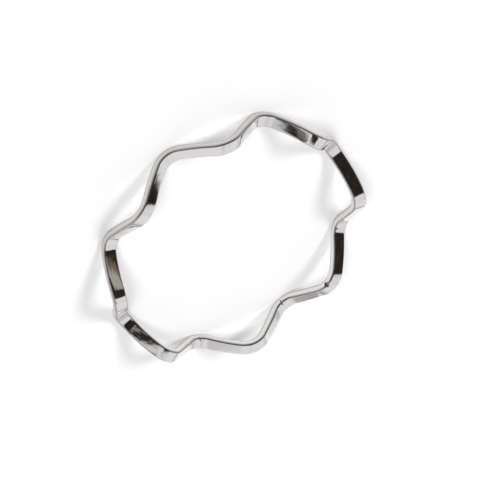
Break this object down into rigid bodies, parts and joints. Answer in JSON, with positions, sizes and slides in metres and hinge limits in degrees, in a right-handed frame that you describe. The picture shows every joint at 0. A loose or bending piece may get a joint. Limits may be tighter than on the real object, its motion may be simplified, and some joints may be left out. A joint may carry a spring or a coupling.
{
  "type": "wave spring",
  "caption": "Closed wave spring: a flat polished strip bent into even axial waves round a ring, for light spring load between shoulders on a shaft or in a housing.",
  "frame": {"origin": "on the ring's axis, in the plane that the lower crests rest on", "axes": "+Z along the ring's axis, away from the surface it lies on; +X through an upper crest"},
  "size_m": [0.019, 0.019, 0.0025],
  "materials": {
    "polished_steel": "mirror polished spring steel, bare, with fine polishing marks"
  },
  "bodies": {
    "root": {"wave_ring": "polished_steel"}
  },
  "joints": []
}
